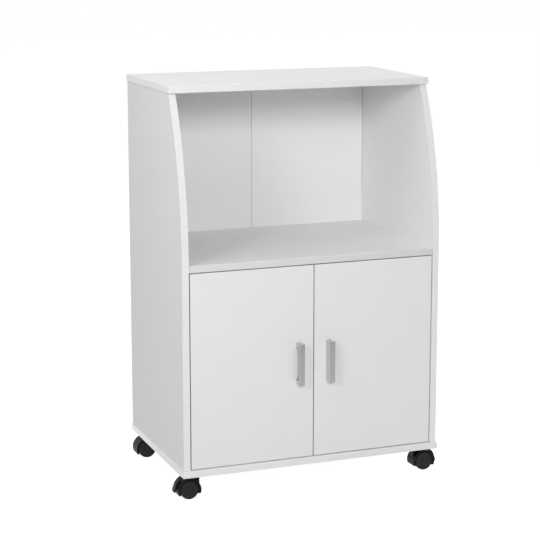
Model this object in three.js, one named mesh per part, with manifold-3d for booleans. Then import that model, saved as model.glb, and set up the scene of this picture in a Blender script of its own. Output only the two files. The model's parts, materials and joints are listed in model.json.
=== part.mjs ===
// Microwave cart: a board body on four twin-wheel castors, with an open bay above
// a cupboard behind two inset doors. Millimetres. +Z up, +X right, the front faces -Y.
// The origin is on the floor, under the middle of the cart's bounding box.
import * as THREE from 'three';
import { mergeVertices } from 'three/addons/utils/BufferGeometryUtils.js';
import Module from 'manifold-3d';

const wasm = await Module();
wasm.setup();

// ---------- driving dimensions ----------
// Boards
const WIDTH = 600;              // top and base boards, side to side
const BASE_DEPTH = 388;         // base board, front to back
const TOP_DEPTH = 312;          // top board, front to back, flush with the base at the back
const BODY_HEIGHT = 828.5;      // underside of the base board to the top surface
const DECK_HEIGHT = 459.5;      // underside of the base board to the fixed shelf's upper face
const BOARD = 15;               // thickness of every carcass board
const DOOR_BOARD = 15;          // thickness of the doors
const BACK_SHEET = 3;           // thickness of the two back sheets
const SIDE_REVEAL = 2.5;        // top and base boards stand proud of the side panels
const FRONT_REVEAL = 4.6;       // base board stands proud of the side panels' front edge
const TOP_REVEAL = 8;           // top board stands proud of the side panels' front edge
const BACK_INSET = 4;           // back sheets stop short of the body's outer edges
const BACK_SEAM = 1;            // open seam between the two back sheets
const ARC_STEPS = 24;           // facets of the side panels' curved front edge

// Clearances
const SEAT = 0.3;               // between pieces that rest on or in each other
const RUNNING = 0.3;            // between a pin and what turns on it
const DOOR_GAP = 2.5;           // doors to side panels, and door to door
const DOOR_GAP_END = 2;         // doors to the base board and to the fixed shelf
const SHELF_GAP = 1;            // inner shelf to the side panels

// Loose shelf in the cupboard
const INNER_SHELF_SETBACK = 75; // behind the side panels' front edge
const INNER_SHELF_RISE = 205;   // base board's upper face to the inner shelf's underside
const PIN_R = 2.5;              // shelf pin
const PIN_DEPTH = 8;            // length of the pin in the side panel
const PIN_REACH = 8;            // length of the pin under the shelf
const PIN_COLLAR_R = 4;
const PIN_COLLAR = 1.5;
const PIN_INSET = 40;           // pins from the shelf's front and back edges
const PIN_PITCH = 32;           // height between the rows of pin holes
const PIN_ROWS = [-1, 0, 1];    // rows of holes around the row in use

// Handles
const HANDLE_LENGTH = 90;
const HANDLE_WIDTH = 12;
const HANDLE_STAND = 22;        // door face to the handle's front face
const HANDLE_BAR = 6;           // thickness of the front
const HANDLE_WALL = 3;          // thickness of the wall on the side of the door's free edge
const HANDLE_LEG = 9;           // length of each foot along the handle
const HANDLE_ROUND = 0.8;       // radius of the outer corners at the top and bottom
const HANDLE_INSET = 34;        // handle's middle from the door's free edge
const SCREW_R = 2;
const SCREW_HEAD_R = 4;
const SCREW_HEAD = 2.4;
const SCREW_GRIP = 9;           // length of the screw in the handle's leg

// Concealed hinges, two on each door
const HINGE_INSET = 80;         // hinge's middle from the door's top or bottom edge
const PIVOT_IN = 12.5;          // pivot from the door's outer edge
const PIVOT_BACK = 6.5;         // pivot behind the door's face
const CUP_R = 13;
const CUP_EDGE = 4;             // cup's hole from the door's outer edge
const CUP_WALL = 1;
const CUP_FLOOR = 0.6;
const CUP_DEPTH = 11.8;         // depth of the cup below the door's back face
const CUP_FLANGE = 1;           // thickness of the rim on the door's back face
const CUP_RIM_R = 14.5;
const HINGE_PIN_R = 1;
const EYE_WALL = 1;             // wall of the arm's eye round the pin
const ARM_SHEET = 2.5;          // thickness of the hinge arm
const ARM_HEIGHT = 10;          // height of the hinge arm along its pin
const NECK_REACH = 11.2;        // pivot to the near side of the arm's neck, across
const NECK_BACK = 16;           // pivot to the front side of the arm's cross leg
const ARM_LENGTH = 42;          // arm's run along the mounting plate
const PLATE_SHEET = 2;
const PLATE_HEIGHT = 32;
const PLATE_LENGTH = 38;

// Magnetic catch
const CATCH_WIDTH = 46;
const CATCH_DEPTH = 14;
const CATCH_HEIGHT = 12;
const STRIKE_WIDTH = 18;
const STRIKE_HEIGHT = 12;
const STRIKE_SHEET = 1;

// Castors
const WHEEL_R = 20.5;
const WHEEL_WIDTH = 12;
const WHEEL_ROUND = 2.5;        // radius of the wheel's edges
const WHEEL_DISH = 0.5;         // depth of the dish in the wheel's outer face
const WHEEL_DISH_R = 17.5;
const AXLE_R = 3;
const AXLE_GRIP = 8;            // length of the axle in each wheel
const WEB = 9;                  // thickness of the hood between the wheels
const WHEEL_PLAY = 0.5;         // wheel to the web, along the axle
const WHEEL_CLEAR = 1;          // wheel's rim to the inside of the hood
const HOOD_R = 26;              // outside of the hood round the axle
const HOOD_HEEL_R = 27;         // outside of the hood at its heel, below the swivel
const HOOD_TOP = 32;            // hood's flat top above the axle
const HOOD_START = -24;         // degrees, where the hood begins on the trailing side
const HOOD_HEEL = 199;          // degrees, where the heel ends
const HEEL_START = 150;         // degrees, where the heel begins to swell
const BOSS_R = 9.5;
const BOSS_FOOT = 10;           // bottom of the boss above the axle
const TRAIL = 15;               // axle from the swivel axis
const STEM_R = 3.5;
const STEM_DEPTH = 12;          // length of the stem in the hood
const CASTOR_PLATE = 38;        // side of the square mounting plate
const CASTOR_PLATE_SHEET = 2;
const CASTOR_IN = 36;           // swivel axis from the base board's side edges
const CASTOR_BACK = 39;         // swivel axis from the base board's front and back edges
const BRAKE_WIDTH = 16;
const BRAKE_THICK = 3.4;
const BRAKE_TOP = 50;           // degrees, upper end of the brake lever
const BRAKE_LEAVE = 22;         // degrees, where the lever leaves the hood
const BRAKE_TIP = -9;           // degrees, tip of the lever
const BRAKE_TIP_R = 32.5;

// ---------- places worked out from the dimensions ----------
const CASTOR_HEIGHT = WHEEL_R + HOOD_TOP + RUNNING + CASTOR_PLATE_SHEET + SEAT;
const REACH_FRONT = HANDLE_STAND + SEAT - FRONT_REVEAL;   // handles in front of the base board
const REACH_BACK = SEAT + BACK_SHEET;                     // back sheets behind the boards
const TOTAL_DEPTH = BASE_DEPTH + REACH_FRONT + REACH_BACK;
const FRONT = -TOTAL_DEPTH / 2 + REACH_FRONT;             // base board's front edge
const BACK = FRONT + BASE_DEPTH;                          // boards' back edge
const FACE = FRONT + FRONT_REVEAL;                        // front of doors, sides and shelf
const BASE_Z = CASTOR_HEIGHT;
const FLOOR_Z = BASE_Z + BOARD;
const DECK_Z = BASE_Z + DECK_HEIGHT;
const CEILING_Z = BASE_Z + BODY_HEIGHT - BOARD;
const TOP_Z = BASE_Z + BODY_HEIGHT;
const OUTER_X = WIDTH / 2 - SIDE_REVEAL;                  // outer face of the side panels
const INNER_X = OUTER_X - BOARD;                          // inner face of the side panels
const DOOR_OUT = INNER_X - DOOR_GAP;                      // door's hinge edge, from the middle
const DOOR_IN = DOOR_GAP / 2;                             // door's free edge, from the middle
const DOOR_Z0 = FLOOR_Z + DOOR_GAP_END;
const DOOR_Z1 = DECK_Z - BOARD - DOOR_GAP_END;
const DOOR_BACK = FACE + DOOR_BOARD;
const PIVOT_X = DOOR_OUT - PIVOT_IN;
const PIVOT_Y = FACE + PIVOT_BACK;
const HINGE_Z = { lower: DOOR_Z0 + HINGE_INSET, upper: DOOR_Z1 - HINGE_INSET };
const HANDLE_X = DOOR_IN + HANDLE_INSET;
const HANDLE_Z = (DOOR_Z0 + DOOR_Z1) / 2;
const SHELF_Z = FLOOR_Z + INNER_SHELF_RISE;
const PIN_Y = [FACE + INNER_SHELF_SETBACK + PIN_INSET, BACK - PIN_INSET];

// ---------- materials ----------
const finish = (color, roughness, metalness) =>
  new THREE.MeshStandardMaterial({ color, roughness, metalness });
const WHITE_BOARD = finish(0xe6e6e5, 0.45, 0);
const WHITE_SHEET = finish(0xdcdcda, 0.6, 0);
const SATIN_METAL = finish(0xb4b5b6, 0.35, 0.9);
const HINGE_STEEL = finish(0xbfc1c2, 0.25, 1);
const BLACK_PLASTIC = finish(0x1b1b1a, 0.5, 0);
const WHEEL_PLASTIC = finish(0x232322, 0.55, 0);
const WHITE_PLASTIC = finish(0xeeeeec, 0.4, 0);

// ---------- solids ----------
const cart = new THREE.Group();

function add(name, geometry, material) {
  const mesh = new THREE.Mesh(geometry, material);
  mesh.name = name;
  cart.add(mesh);
  return mesh;
}

function box(x, y, z) {
  const geometry = new THREE.BoxGeometry(x[1] - x[0], y[1] - y[0], z[1] - z[0]);
  return geometry.translate((x[0] + x[1]) / 2, (y[0] + y[1]) / 2, (z[0] + z[1]) / 2);
}

// An outline of [a, b] points carried along the third axis from `start` to `end`.
function prism(points, axis, start, end) {
  const shape = new THREE.Shape(points.map(([a, b]) => new THREE.Vector2(a, b)));
  const geometry = new THREE.ExtrudeGeometry(shape, { depth: end - start, bevelEnabled: false });
  const turn = new THREE.Matrix4();
  if (axis === 'x') turn.makeBasis(unit(0, 1, 0), unit(0, 0, 1), unit(1, 0, 0));
  if (axis === 'y') turn.makeBasis(unit(1, 0, 0), unit(0, 0, 1), unit(0, -1, 0));
  geometry.applyMatrix4(turn);
  if (axis === 'x') return geometry.translate(start, 0, 0);
  if (axis === 'y') return geometry.translate(0, end, 0);
  return geometry.translate(0, 0, start);
}

function unit(x, y, z) {
  return new THREE.Vector3(x, y, z);
}

// A round bar along `axis`, centred on `middle`.
function rod(radius, length, axis, middle, sides = 16) {
  const geometry = new THREE.CylinderGeometry(radius, radius, length, sides);
  if (axis === 'x') geometry.rotateZ(Math.PI / 2);
  if (axis === 'z') geometry.rotateX(Math.PI / 2);
  return geometry.translate(...middle);
}

// A profile of [radius, height] points turned about the Y axis.
function turned(profile, sides) {
  return new THREE.LatheGeometry(profile.map(([r, h]) => new THREE.Vector2(r, h)), sides);
}

function arc(radius, from, to, steps, centre = [0, 0]) {
  return Array.from({ length: steps + 1 }, (_, i) => {
    const angle = THREE.MathUtils.degToRad(from + ((to - from) * i) / steps);
    return [centre[0] + radius * Math.cos(angle), centre[1] + radius * Math.sin(angle)];
  });
}

function solid(geometry) {
  const bare = geometry.clone();
  bare.deleteAttribute('normal');
  bare.deleteAttribute('uv');
  const merged = mergeVertices(bare, 1e-4);
  const vertProperties = new Float32Array(merged.attributes.position.array);
  const triVerts = new Uint32Array(merged.index.array);
  return new wasm.Manifold(new wasm.Mesh({ numProp: 3, vertProperties, triVerts }));
}

function shapeOf(body) {
  const mesh = body.getMesh();
  const geometry = new THREE.BufferGeometry();
  geometry.setAttribute('position', new THREE.BufferAttribute(mesh.vertProperties, 3));
  geometry.setIndex(new THREE.BufferAttribute(mesh.triVerts, 1));
  geometry.computeVertexNormals();
  return geometry;
}

function cut(geometry, tools) {
  return shapeOf(tools.reduce((body, tool) => body.subtract(solid(tool)), solid(geometry)));
}

function joined(geometries) {
  return geometries.map(solid).reduce((body, other) => body.add(other));
}

// ---------- carcass boards ----------
function addCarcass() {
  const across = [-WIDTH / 2, WIDTH / 2];
  add('base_board', box(across, [FRONT, BACK], [BASE_Z, FLOOR_Z]), WHITE_BOARD);
  add('top_board', box(across, [BACK - TOP_DEPTH, BACK], [CEILING_Z, TOP_Z]), WHITE_BOARD);
  const between = [-INNER_X + SEAT, INNER_X - SEAT];
  add('fixed_shelf', box(between, [FACE, BACK], [DECK_Z - BOARD, DECK_Z]), WHITE_BOARD);
  for (const [name, side] of [['left_side_panel', -1], ['right_side_panel', 1]]) {
    add(name, sidePanel(side), WHITE_BOARD);
  }
  const sheetZ = [BASE_Z + BACK_INSET, TOP_Z - BACK_INSET];
  const sheetY = [BACK + SEAT, BACK + SEAT + BACK_SHEET];
  const [seam, edge] = [BACK_SEAM / 2, WIDTH / 2 - BACK_INSET];
  add('back_sheet_left', box([-edge, -seam], sheetY, sheetZ), WHITE_SHEET);
  add('back_sheet_right', box([seam, edge], sheetY, sheetZ), WHITE_SHEET);
}

// The front edge stands upright to the fixed shelf, and from there leans back
// in one arc that is tangent to it, up to the top board.
function sidePanel(side) {
  const bottom = FLOOR_Z + SEAT;
  const top = CEILING_Z - SEAT;
  const setBack = BACK - TOP_DEPTH + TOP_REVEAL - FACE;
  const rise = top - DECK_Z;
  const radius = (rise * rise + setBack * setBack) / (2 * setBack);
  const sweep = THREE.MathUtils.radToDeg(Math.asin(rise / radius));
  const curve = arc(radius, 180, 180 - sweep, ARC_STEPS, [FACE + radius, DECK_Z]);
  const outline = [[BACK, bottom], [BACK, top], ...curve.reverse(), [FACE, bottom]];
  const x = side > 0 ? [INNER_X, OUTER_X] : [-OUTER_X, -INNER_X];
  const holes = PIN_Y.flatMap((y) => PIN_ROWS.map((row) => pinHole(side, y, row)));
  return cut(prism(outline, 'x', ...x), holes);
}

function pinHole(side, y, row) {
  const z = SHELF_Z - SEAT - PIN_R + row * PIN_PITCH;
  const depth = 2 * (PIN_DEPTH + SEAT);
  return rod(PIN_R + SEAT, depth, 'x', [side * INNER_X, y, z], 12);
}

// ---------- loose shelf and its pins ----------
function addInnerShelf() {
  const x = INNER_X - SHELF_GAP;
  const y = [FACE + INNER_SHELF_SETBACK, BACK - SEAT];
  add('inner_shelf', box([-x, x], y, [SHELF_Z, SHELF_Z + BOARD]), WHITE_BOARD);
  const profile = [
    [0, -PIN_DEPTH], [PIN_R, -PIN_DEPTH], [PIN_R, SEAT], [PIN_COLLAR_R, SEAT],
    [PIN_COLLAR_R, SEAT + PIN_COLLAR], [PIN_R, SEAT + PIN_COLLAR], [PIN_R, PIN_REACH], [0, PIN_REACH],
  ];
  const span = [-PIN_COLLAR_R, PIN_COLLAR_R].map((edge) => 3 * edge);
  const above = box(span, span, [PIN_R, 2 * PIN_COLLAR_R]);
  for (const [sideName, side] of [['left', -1], ['right', 1]]) {
    ['front', 'back'].forEach((placeName, i) => {
      const pin = turned(profile, 12).rotateZ((side * Math.PI) / 2);
      const clipped = cut(pin, [above]);
      clipped.translate(side * INNER_X, PIN_Y[i], SHELF_Z - SEAT - PIN_R);
      add(`shelf_pin_${sideName}_${placeName}`, clipped, HINGE_STEEL);
    });
  }
}

// ---------- doors ----------
function addDoor(name, side) {
  const edges = [side * DOOR_IN, side * DOOR_OUT].sort((a, b) => a - b);
  const blank = box(edges, [FACE, DOOR_BACK], [DOOR_Z0, DOOR_Z1]);
  const cupX = side * (DOOR_OUT - CUP_EDGE - CUP_R);
  const cupHoles = Object.values(HINGE_Z).map((z) =>
    rod(CUP_R + SEAT, 2 * (CUP_DEPTH + SEAT), 'y', [cupX, DOOR_BACK, z], 24));
  const screwHoles = screwHeights().map((z) =>
    rod(SCREW_R + SEAT, 3 * DOOR_BOARD, 'y', [side * HANDLE_X, FACE, z]));
  add(`${name}_door`, cut(blank, [...cupHoles, ...screwHoles]), WHITE_BOARD);
  addHandle(name, side);
  for (const [level, z] of Object.entries(HINGE_Z)) {
    addHinge(`${name}_${level}_hinge`, side, z);
  }
}

function screwHeights() {
  const reach = (HANDLE_LENGTH - HANDLE_LEG) / 2;
  return [HANDLE_Z - reach, HANDLE_Z + reach];
}

// A pull with a front, a foot at each end and a wall towards the door's free edge. Fingers
// reach behind the front from the open side.
function addHandle(name, side) {
  const x = side * HANDLE_X;
  const half = HANDLE_LENGTH / 2;
  const back = FACE - SEAT;
  const front = back - HANDLE_STAND;
  const [r, grip] = [HANDLE_ROUND, half - HANDLE_LEG];
  const outline = [
    [back, -half], [back, half],
    ...arc(r, 90, 180, 3, [front + r, half - r]),
    ...arc(r, 180, 270, 3, [front + r, -half + r]),
  ].map(([y, z]) => [y, z + HANDLE_Z]);
  const block = prism(outline, 'x', x - HANDLE_WIDTH / 2, x + HANDLE_WIDTH / 2);
  const open = [HANDLE_WALL - HANDLE_WIDTH / 2, HANDLE_WIDTH].map((step) => x + side * step);
  const pocket = box(open.sort((a, b) => a - b), [front + HANDLE_BAR, back + HANDLE_STAND],
    [HANDLE_Z - grip, HANDLE_Z + grip]);
  const bores = screwHeights().map((z) =>
    rod(SCREW_R + SEAT, 2 * (SCREW_GRIP + SEAT), 'y', [x, back, z]));
  add(`${name}_handle`, cut(block, [pocket, ...bores]), SATIN_METAL);
  const seat = DOOR_BACK + SEAT;
  const tip = back - SCREW_GRIP;
  const screw = [
    [0, tip], [SCREW_R, tip], [SCREW_R, seat], [SCREW_HEAD_R, seat],
    [SCREW_HEAD_R, seat + SCREW_HEAD / 2], [SCREW_HEAD_R / 2, seat + SCREW_HEAD],
    [0, seat + SCREW_HEAD],
  ];
  screwHeights().forEach((z, i) => {
    const geometry = turned(screw, 16).translate(x, 0, z);
    add(`${name}_handle_screw_${['lower', 'upper'][i]}`, geometry, HINGE_STEEL);
  });
}

// The cup is let into the door and carries the pin. The arm is hooked on the pin, runs
// towards the door's middle, leaves the cup and goes back round the door's edge to the
// plate on the side panel. Outlines are for the right door, whose hinges are at +X.
function addHinge(name, side, z) {
  const eyeR = HINGE_PIN_R + RUNNING + EYE_WALL;
  const neck = [-NECK_REACH - ARM_SHEET, -NECK_REACH];
  const cross = [NECK_BACK, NECK_BACK + ARM_SHEET];
  const wall = PIVOT_IN + DOOR_GAP - SEAT;
  const plateX = [wall - PLATE_SHEET, wall];
  const armX = [plateX[0] - SEAT - ARM_SHEET, plateX[0] - SEAT];
  const half = ARM_HEIGHT / 2;
  const level = [-half, half];
  const arm = joined([
    rod(eyeR, ARM_HEIGHT, 'z', [0, 0, 0]),
    box([neck[0], 0], [-ARM_SHEET / 2, ARM_SHEET / 2], level),
    box(neck, [-ARM_SHEET / 2, cross[1]], level),
    box([neck[0], armX[1]], cross, level),
    box(armX, [cross[0], cross[0] + ARM_LENGTH], level),
  ]).subtract(solid(rod(HINGE_PIN_R + RUNNING, 2 * ARM_HEIGHT, 'z', [0, 0, 0])));
  const plateY = [cross[1] + SEAT, cross[1] + SEAT + PLATE_LENGTH];
  const plate = box(plateX, plateY, [-PLATE_HEIGHT / 2, PLATE_HEIGHT / 2]);
  place(`${name}_arm`, shapeOf(arm), side, z);
  place(`${name}_plate`, plate, side, z);
  place(`${name}_cup`, hingeCup(), side, z);
}

function hingeCup() {
  const rim = DOOR_BOARD - PIVOT_BACK;
  const [foot, lip] = [rim - CUP_DEPTH, rim + SEAT];
  const inner = CUP_R - CUP_WALL;
  const bowl = turned([
    [0, foot], [CUP_R, foot], [CUP_R, lip], [CUP_RIM_R, lip], [CUP_RIM_R, lip + CUP_FLANGE],
    [inner, lip + CUP_FLANGE], [inner, foot + CUP_FLOOR], [0, foot + CUP_FLOOR],
  ], 24);
  const toCup = CUP_EDGE + CUP_R - PIVOT_IN;
  const chord = Math.sqrt(inner * inner - toCup * toCup);
  const pin = rod(HINGE_PIN_R, 2 * chord + CUP_WALL, 'z', [0, 0, 0]);
  return shapeOf(joined([bowl.translate(-toCup, 0, 0), pin]));
}

function place(name, geometry, side, z) {
  if (side < 0) {
    geometry.rotateY(Math.PI);
  }
  add(name, geometry.translate(side * PIVOT_X, PIVOT_Y, z), HINGE_STEEL);
}

// ---------- magnetic catch ----------
function addCatch() {
  const under = DECK_Z - BOARD - SEAT;
  const strikeY = [DOOR_BACK + SEAT, DOOR_BACK + SEAT + STRIKE_SHEET];
  const catchY = [strikeY[1] + RUNNING, strikeY[1] + RUNNING + CATCH_DEPTH];
  const half = CATCH_WIDTH / 2;
  add('magnet_catch', box([-half, half], catchY, [under - CATCH_HEIGHT, under]), WHITE_PLASTIC);
  const strikeZ = [DOOR_Z1 - STRIKE_HEIGHT - 1, DOOR_Z1 - 1];
  const near = DOOR_IN + 2;
  for (const [name, side] of [['left', -1], ['right', 1]]) {
    const x = [side * near, side * (near + STRIKE_WIDTH)].sort((a, b) => a - b);
    add(`${name}_strike_plate`, box(x, strikeY, strikeZ), HINGE_STEEL);
  }
}

// ---------- castors ----------
// Outlines lie in the castor's side view: across is away from the swivel axis, which is
// the way it trails, and up is up, both from the axle.
function hoodOutline() {
  const heel = 8;
  const swell = Array.from({ length: heel }, (_, i) => {
    const part = (i + 1) / heel;
    const angle = THREE.MathUtils.degToRad(HEEL_START + (HOOD_HEEL - HEEL_START) * part);
    const r = HOOD_R + (HOOD_HEEL_R - HOOD_R) * part;
    return [r * Math.cos(angle), r * Math.sin(angle)];
  });
  return [...arc(HOOD_R, HOOD_START, HEEL_START, 18), ...swell];
}

function castorHood() {
  const halfWidth = WEB / 2 + WHEEL_PLAY + WHEEL_WIDTH;
  const shoulder = arc(HOOD_R, 65, 65, 1)[0];
  const crown = [
    shoulder, [-TRAIL + BOSS_R, HOOD_TOP], [-TRAIL - BOSS_R, HOOD_TOP],
    [-TRAIL - BOSS_R, BOSS_FOOT], [0, BOSS_FOOT],
  ];
  const body = joined([
    prism(hoodOutline(), 'y', -halfWidth, halfWidth),
    prism(crown, 'y', -BOSS_R, BOSS_R),
  ]);
  const tools = [-1, 1].map((side) => {
    const from = WEB / 2;
    const length = 2 * halfWidth;
    return rod(WHEEL_R + WHEEL_CLEAR, length, 'y', [0, side * (from + length / 2), 0], 36);
  });
  tools.push(rod(AXLE_R + SEAT, 2 * WEB, 'y', [0, 0, 0]));
  const stemHole = 2 * (STEM_DEPTH + SEAT);
  tools.push(rod(STEM_R + RUNNING, stemHole, 'z', [-TRAIL, 0, HOOD_TOP]));
  return shapeOf(tools.reduce((rest, tool) => rest.subtract(solid(tool)), body));
}

function castorWheel() {
  const inner = WEB / 2 + WHEEL_PLAY;
  const outer = inner + WHEEL_WIDTH;
  const bore = AXLE_R + RUNNING;
  const blind = inner + AXLE_GRIP + RUNNING;
  const r = WHEEL_ROUND;
  return turned([
    [0, blind], [bore, blind], [bore, inner],
    ...arc(r, -90, 0, 2, [WHEEL_R - r, inner + r]),
    ...arc(r, 0, 90, 2, [WHEEL_R - r, outer - r]),
    [WHEEL_DISH_R, outer], [WHEEL_DISH_R - WHEEL_DISH, outer - WHEEL_DISH],
    [0, outer - WHEEL_DISH],
  ], 30);
}

function castorPlate() {
  const half = CASTOR_PLATE / 2;
  const under = HOOD_TOP + RUNNING;
  const plate = box([-TRAIL - half, -TRAIL + half], [-half, half], [under, under + CASTOR_PLATE_SHEET]);
  const length = STEM_DEPTH + RUNNING + CASTOR_PLATE_SHEET / 2;
  const middle = under + CASTOR_PLATE_SHEET / 2 - length / 2;
  return shapeOf(joined([plate, rod(STEM_R, length, 'z', [-TRAIL, 0, middle])]));
}

// The lever lies on the outside of the hood, concentric with the axle, and its tip
// stands off to be pressed by a foot.
function brakeLever() {
  const inner = HOOD_R + RUNNING;
  const outer = inner + BRAKE_THICK;
  const tip = BRAKE_TIP_R;
  const outline = [
    ...arc(inner, BRAKE_TOP, BRAKE_LEAVE, 5),
    ...arc(tip - BRAKE_THICK, BRAKE_TIP + 6, BRAKE_TIP, 2),
    ...arc(tip, BRAKE_TIP, BRAKE_TIP + 8, 3),
    ...arc(outer + 1, BRAKE_LEAVE + 4, BRAKE_TOP - 8, 3),
    ...arc(outer, BRAKE_TOP - 3, BRAKE_TOP, 1),
  ];
  return prism(outline, 'y', -BRAKE_WIDTH / 2, BRAKE_WIDTH / 2);
}

function addCastor(name, sideX, sideY, braked) {
  const x = sideX * (WIDTH / 2 - CASTOR_IN + TRAIL);
  const y = sideY < 0 ? FRONT + CASTOR_BACK : BACK - CASTOR_BACK;
  const turn = sideX < 0 ? Math.PI : 0;
  const put = (part, geometry, material) =>
    add(`${name}_castor_${part}`, geometry.rotateZ(turn).translate(x, y, WHEEL_R), material);
  put('plate', castorPlate(), HINGE_STEEL);
  put('hood', castorHood(), BLACK_PLASTIC);
  put('axle', rod(AXLE_R, WEB + 2 * (WHEEL_PLAY + AXLE_GRIP), 'y', [0, 0, 0]), HINGE_STEEL);
  const flip = turn === 0 ? 0 : Math.PI;
  put('wheel_front', castorWheel().rotateX(Math.PI).rotateZ(flip), WHEEL_PLASTIC);
  put('wheel_rear', castorWheel().rotateZ(flip), WHEEL_PLASTIC);
  if (braked) {
    put('brake', brakeLever(), BLACK_PLASTIC);
  }
}

addCarcass();
addInnerShelf();
addDoor('left', -1);
addDoor('right', 1);
addCatch();
addCastor('front_left', -1, -1, true);
addCastor('front_right', 1, -1, true);
addCastor('rear_left', -1, 1, false);
addCastor('rear_right', 1, 1, false);

export default cart;
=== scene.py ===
"""Microwave cart: the looks of a white board cart on castors.

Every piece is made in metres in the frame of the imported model. Board pieces and turned pieces are
surfaces of two parameters; pieces with holes and cuts are softened copies of their solids.
"""
import json
import math

import bmesh
import bpy
import numpy as np
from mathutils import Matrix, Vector


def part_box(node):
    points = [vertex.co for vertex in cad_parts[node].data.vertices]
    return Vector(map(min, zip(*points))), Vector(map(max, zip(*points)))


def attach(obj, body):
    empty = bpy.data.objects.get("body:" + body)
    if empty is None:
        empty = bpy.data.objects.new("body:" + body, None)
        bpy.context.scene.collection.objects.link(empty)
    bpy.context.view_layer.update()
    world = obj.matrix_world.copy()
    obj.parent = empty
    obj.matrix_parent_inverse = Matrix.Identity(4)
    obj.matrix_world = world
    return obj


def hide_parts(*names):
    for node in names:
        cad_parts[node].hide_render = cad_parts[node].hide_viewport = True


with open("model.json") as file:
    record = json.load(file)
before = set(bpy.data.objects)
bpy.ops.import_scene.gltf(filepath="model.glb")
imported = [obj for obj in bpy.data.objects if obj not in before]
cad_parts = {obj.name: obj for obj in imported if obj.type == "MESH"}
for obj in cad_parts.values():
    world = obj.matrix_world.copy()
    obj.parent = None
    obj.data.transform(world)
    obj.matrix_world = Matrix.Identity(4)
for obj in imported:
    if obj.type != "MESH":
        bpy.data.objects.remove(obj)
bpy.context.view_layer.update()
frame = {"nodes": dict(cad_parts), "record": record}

bl_info = {
    "name": "Microwave cart",
    "version": (1, 0, 0),
    "blender": (4, 5, 0),
    "location": "View3D > Sidebar > Cart",
    "description": "Builds the visible pieces of a microwave cart round its solids",
    "category": "Add Mesh",
}

MM = 0.001
SIDES = ("left", "right")
LEVELS = ("upper", "lower")
CASTORS = ("front_left", "front_right", "rear_left", "rear_right")

SLOT_OF = {row["node"]: row["material_slot"] for row in frame["record"]["subparts"]}
BODY_OF = {
    node: body
    for body, nodes in frame["record"]["behaviour"]["bodies"].items()
    for node in nodes
}


# ---- settings

class CartSizes(bpy.types.PropertyGroup):
    """Sizes of the edges, screws and nails that a maker would change."""

    board_edge: bpy.props.FloatProperty(
        name="Board edge", description="Radius of the boards' banded edges",
        default=0.7 * MM, min=0.0001, unit="LENGTH")
    sheet_edge: bpy.props.FloatProperty(
        name="Sheet edge", description="Radius of the back sheets' edges",
        default=0.3 * MM, min=0.0001, unit="LENGTH")
    plastic_edge: bpy.props.FloatProperty(
        name="Plastic edge", description="Radius of the moulded plastic edges",
        default=0.7 * MM, min=0.0001, unit="LENGTH")
    metal_edge: bpy.props.FloatProperty(
        name="Metal edge", description="Radius of the pressed metal edges",
        default=0.25 * MM, min=0.0001, unit="LENGTH")
    handle_edge: bpy.props.FloatProperty(
        name="Handle edge", description="Radius of the pull's edges",
        default=0.3 * MM, min=0.0001, unit="LENGTH")
    tape_width: bpy.props.FloatProperty(
        name="Seam tape", description="Width of the tape over the back's seam",
        default=24.0 * MM, min=0.005, unit="LENGTH")
    nail_pitch: bpy.props.FloatProperty(
        name="Nail pitch", description="Distance between the nails of the back sheets",
        default=118.0 * MM, min=0.02, unit="LENGTH")
    nail_radius: bpy.props.FloatProperty(
        name="Nail head", description="Radius of a nail's head",
        default=2.1 * MM, min=0.0005, unit="LENGTH")
    nail_rise: bpy.props.FloatProperty(
        name="Nail rise", description="Height of a nail's head above the sheet",
        default=0.45 * MM, min=0.0001, unit="LENGTH")
    screw_radius: bpy.props.FloatProperty(
        name="Screw head", description="Radius of the small screws' heads",
        default=3.2 * MM, min=0.0005, unit="LENGTH")


SHADE = {"size": 3, "min": 0, "max": 1}


class CartFinish(bpy.types.PropertyGroup):
    """Colours and sheen of the cart's materials."""

    board: bpy.props.FloatVectorProperty(
        name="Boards", description="White melamine on the boards",
        default=(0.84, 0.84, 0.84), subtype="COLOR", **SHADE)
    # Painted shade: a darker copy of the boards' white melamine, to offset the stronger light on
    # the doors.
    door: bpy.props.FloatVectorProperty(
        name="Doors", description="White melamine on the doors",
        default=(0.81, 0.81, 0.81), subtype="COLOR", **SHADE)
    sheet: bpy.props.FloatVectorProperty(
        name="Back sheets", description="White coating of the back sheets",
        default=(0.85, 0.85, 0.85), subtype="COLOR", **SHADE)
    tape: bpy.props.FloatVectorProperty(
        name="Seam tape", description="White tape over the back's seam",
        default=(0.76, 0.76, 0.75), subtype="COLOR", **SHADE)
    handle: bpy.props.FloatVectorProperty(
        name="Handles", description="Satin silver-grey metal of the handles",
        default=(0.328, 0.330, 0.334), subtype="COLOR", **SHADE)
    fitting: bpy.props.FloatVectorProperty(
        name="Fittings", description="Nickel-plated steel of hinges, pins and strike plates",
        default=(0.70, 0.70, 0.69), subtype="COLOR", **SHADE)
    screw: bpy.props.FloatVectorProperty(
        name="Screws", description="Zinc-plated steel of screws, nails and the catch's poles",
        default=(0.36, 0.36, 0.355), subtype="COLOR", **SHADE)
    castor_steel: bpy.props.FloatVectorProperty(
        name="Castor steel", description="Zinc-plated steel of the castors",
        default=(0.55, 0.55, 0.54), subtype="COLOR", **SHADE)
    castor: bpy.props.FloatVectorProperty(
        name="Castor plastic", description="Black nylon of hoods and levers",
        default=(0.0045, 0.0045, 0.0042), subtype="COLOR", **SHADE)
    wheel: bpy.props.FloatVectorProperty(
        name="Wheels", description="Black nylon of the wheels",
        default=(0.0065, 0.0062, 0.0055), subtype="COLOR", **SHADE)
    catch: bpy.props.FloatVectorProperty(
        name="Catch", description="White plastic of the magnetic catch",
        default=(0.82, 0.82, 0.81), subtype="COLOR", **SHADE)


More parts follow.
